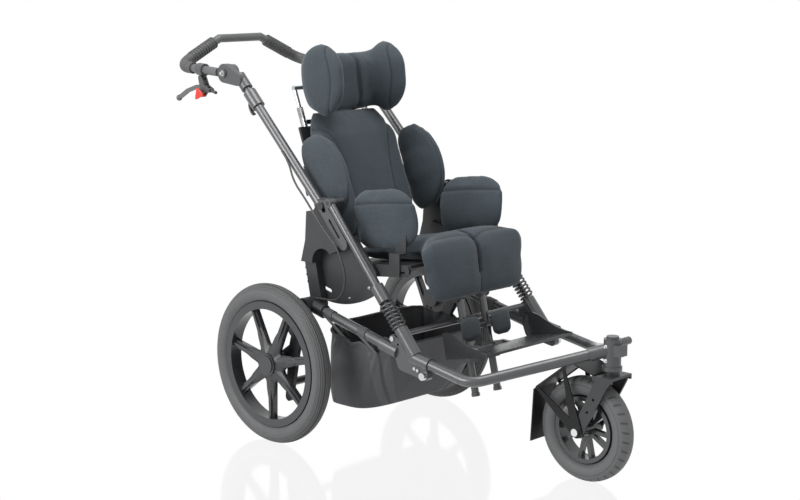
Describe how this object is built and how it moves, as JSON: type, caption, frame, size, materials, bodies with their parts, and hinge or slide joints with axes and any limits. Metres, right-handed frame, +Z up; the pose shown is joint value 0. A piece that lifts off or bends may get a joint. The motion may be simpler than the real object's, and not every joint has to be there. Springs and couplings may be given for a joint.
{
  "type": "special needs buggy",
  "caption": "Three-wheeled push buggy for a disabled child, with tilting padded seat, headrest, leg rest, sprung folding frame, swivel front wheel, brake lever and cloth basket.",
  "frame": {"origin": "on the ground below the middle of the whole length and width", "axes": "+Y towards the push handle at the rear, +X towards the rider's left, +Z up"},
  "size_m": [0.636, 1.3345, 0.9862],
  "materials": {
    "frame_paint": "satin",
    "dark_plastic": "matte",
    "handle_paint": "satin",
    "grey_plastic": "satin",
    "steel": "brushed",
    "tyre": "matte",
    "grip_rubber": "matte",
    "red_plastic": "gloss",
    "seat_fabric": "woven",
    "basket_cloth": "woven"
  },
  "bodies": {
    "chassis": {"side_tube_right": "frame_paint", "side_tube_left": "frame_paint", "front_joint_right": "frame_paint", "front_joint_left": "frame_paint", "rear_joint_right": "dark_plastic", "rear_joint_left": "dark_plastic", "front_frame": "frame_paint", "head_block": "dark_plastic", "cross_bar": "frame_paint", "axle_tube": "frame_paint", "basket": "basket_cloth", "frame_bolts": "steel"},
    "rear_wheel_right": {"rear_tyre_right": "tyre", "rear_rim_right": "grey_plastic"},
    "rear_wheel_left": {"rear_tyre_left": "tyre", "rear_rim_left": "grey_plastic"},
    "caster": {"caster_fork": "grey_plastic", "caster_guard": "dark_plastic", "front_axle": "steel"},
    "front_wheel": {"front_tyre": "tyre", "front_rim": "grey_plastic"},
    "caster_release": {"caster_lock": "grey_plastic"},
    "upper_frame": {"carrier_right": "grey_plastic", "carrier_left": "grey_plastic", "post_right": "dark_plastic", "post_left": "dark_plastic", "tilt_plate_right": "dark_plastic", "tilt_plate_left": "dark_plastic", "brake_cable_low": "grip_rubber"},
    "strut_unit_right": {"strut_right": "frame_paint", "spring_right": "steel"},
    "strut_unit_left": {"strut_left": "frame_paint", "spring_left": "steel"},
    "slider_right": {"lock_slider_right": "grey_plastic"},
    "slider_left": {"lock_slider_left": "grey_plastic"},
    "push_bar": {"push_tube_right": "frame_paint", "push_tube_left": "frame_paint", "brake_cable_top": "grip_rubber"},
    "push_inner": {"inner_tube_right": "dark_plastic", "inner_tube_left": "dark_plastic"},
    "handle": {"handle_bar": "handle_paint", "grips": "grip_rubber", "brake_mount": "dark_plastic"},
    "button_right": {"angle_button_right": "grey_plastic"},
    "button_left": {"angle_button_left": "grey_plastic"},
    "lever": {"brake_lever": "handle_paint"},
    "lever_lock": {"brake_lock": "red_plastic"},
    "seat": {"seat_base": "dark_plastic", "seat_cushion": "seat_fabric"},
    "hip_right": {"hip_pad_right": "seat_fabric"},
    "hip_left": {"hip_pad_left": "seat_fabric"},
    "back": {"back_frame": "dark_plastic", "back_cushion": "seat_fabric"},
    "side_right": {"side_pad_right": "seat_fabric"},
    "side_left": {"side_pad_left": "seat_fabric"},
    "head": {"headrest": "seat_fabric"},
    "leg_rest": {"leg_tubes": "frame_paint", "calf_pads": "seat_fabric"},
    "carriage": {"foot_carriage": "dark_plastic"},
    "foot": {"footplate": "dark_plastic"}
  },
  "joints": [
    {"name": "rear_spin_right", "type": "hinge", "parent": "chassis", "child": "rear_wheel_right", "pos_m": [-0.294, 0.20573, 0.2], "axis": [1, 0, 0], "continuous": true},
    {"name": "rear_spin_left", "type": "hinge", "parent": "chassis", "child": "rear_wheel_left", "pos_m": [0.294, 0.20573, 0.2], "axis": [1, 0, 0], "continuous": true},
    {"name": "caster_swivel", "type": "hinge", "parent": "chassis", "child": "caster", "pos_m": [0, -0.61027, 0.3], "axis": [0, 0, 1], "continuous": true},
    {"name": "front_spin", "type": "hinge", "parent": "caster", "child": "front_wheel", "pos_m": [0, -0.54427, 0.123], "axis": [1, 0, 0], "continuous": true},
    {"name": "caster_release_pull", "type": "slide", "parent": "chassis", "child": "caster_release", "axis": [1, 0, 0], "range_m": [0, 0.008], "stiffness_N_per_m": 400, "springref_m": -0.006},
    {"name": "suspension", "type": "hinge", "parent": "chassis", "child": "upper_frame", "pos_m": [0, 0.12873, 0.35], "axis": [1, 0, 0], "range_deg": [0, 2], "stiffness_Nm_per_rad": 500, "springref_deg": -5.73},
    {"name": "strut_swing_right", "type": "hinge", "parent": "upper_frame", "child": "strut_unit_right", "pos_m": [-0.232, 0.05873, 0.608], "axis": [1, 0, 0], "range_deg": [-1.4, 0.1], "deforming": ["spring_right"]},
    {"name": "strut_swing_left", "type": "hinge", "parent": "upper_frame", "child": "strut_unit_left", "pos_m": [0.232, 0.05873, 0.608], "axis": [1, 0, 0], "range_deg": [-1.4, 0.1], "deforming": ["spring_left"]},
    {"name": "slider_pull_right", "type": "slide", "parent": "upper_frame", "child": "slider_right", "axis": [0, 0.6468, 0.7627], "range_m": [0, 0.012], "stiffness_N_per_m": 300, "springref_m": -0.01},
    {"name": "slider_pull_left", "type": "slide", "parent": "upper_frame", "child": "slider_left", "axis": [0, 0.6468, 0.7627], "range_m": [0, 0.012], "stiffness_N_per_m": 300, "springref_m": -0.01},
    {"name": "push_fold", "type": "hinge", "parent": "upper_frame", "child": "push_bar", "pos_m": [0, 0.08773, 0.598], "axis": [1, 0, 0], "range_deg": [0, 100]},
    {"name": "push_slide", "type": "slide", "parent": "push_bar", "child": "push_inner", "axis": [0, 0.7022, 0.712], "range_m": [0, 0.1]},
    {"name": "handle_angle", "type": "hinge", "parent": "push_inner", "child": "handle", "pos_m": [0, 0.44973, 0.899], "axis": [1, 0, 0], "range_deg": [-30, 60]},
    {"name": "button_press_right", "type": "slide", "parent": "push_inner", "child": "button_right", "axis": [1, 0, 0], "range_m": [0, 0.0035], "stiffness_N_per_m": 400, "springref_m": -0.003},
    {"name": "button_press_left", "type": "slide", "parent": "push_inner", "child": "button_left", "axis": [-1, 0, 0], "range_m": [0, 0.0035], "stiffness_N_per_m": 400, "springref_m": -0.003},
    {"name": "brake_squeeze", "type": "hinge", "parent": "handle", "child": "lever", "pos_m": [-0.21, 0.54573, 0.856], "axis": [1, 0, 0], "range_deg": [0, 18], "stiffness_Nm_per_rad": 0.8, "springref_deg": -17.19},
    {"name": "brake_lock_flip", "type": "hinge", "parent": "handle", "child": "lever_lock", "pos_m": [-0.21, 0.55773, 0.838], "axis": [1, 0, 0], "range_deg": [0, 20]},
    {"name": "seat_tilt", "type": "hinge", "parent": "upper_frame", "child": "seat", "pos_m": [0, 0.12073, 0.421], "axis": [-1, 0, 0], "range_deg": [0, 30]},
    {"name": "back_recline", "type": "hinge", "parent": "seat", "child": "back", "pos_m": [0, 0.15673, 0.45], "axis": [-1, 0, 0], "range_deg": [0, 30]},
    {"name": "headrest_height", "type": "slide", "parent": "back", "child": "head", "axis": [0, 0.3502, 0.9367], "range_m": [0, 0.06]},
    {"name": "side_pad_up_right", "type": "slide", "parent": "back", "child": "side_right", "axis": [0, 0.3502, 0.9367], "range_m": [0, 0.03]},
    {"name": "side_pad_up_left", "type": "slide", "parent": "back", "child": "side_left", "axis": [0, 0.3502, 0.9367], "range_m": [0, 0.03]},
    {"name": "hip_pad_forward_right", "type": "slide", "parent": "seat", "child": "hip_right", "axis": [0, -0.9925, 0.1219], "range_m": [0, 0.02]},
    {"name": "hip_pad_forward_left", "type": "slide", "parent": "seat", "child": "hip_left", "axis": [0, -0.9925, 0.1219], "range_m": [0, 0.02]},
    {"name": "leg_swing", "type": "hinge", "parent": "seat", "child": "leg_rest", "pos_m": [0, -0.18481, 0.385], "axis": [-1, 0, 0], "range_deg": [0, 40]},
    {"name": "foot_slide", "type": "slide", "parent": "leg_rest", "child": "carriage", "axis": [0, -0.23, -0.9732], "range_m": [0, 0.07]},
    {"name": "foot_flip", "type": "hinge", "parent": "carriage", "child": "foot", "pos_m": [0, -0.23636, 0.26257], "axis": [-1, 0, 0], "range_deg": [0, 45]}
  ],
  "couplings": [
    {"joint": "strut_swing_right", "follows": "suspension", "ratio": -0.61},
    {"joint": "strut_swing_left", "follows": "suspension", "ratio": -0.61}
  ]
}
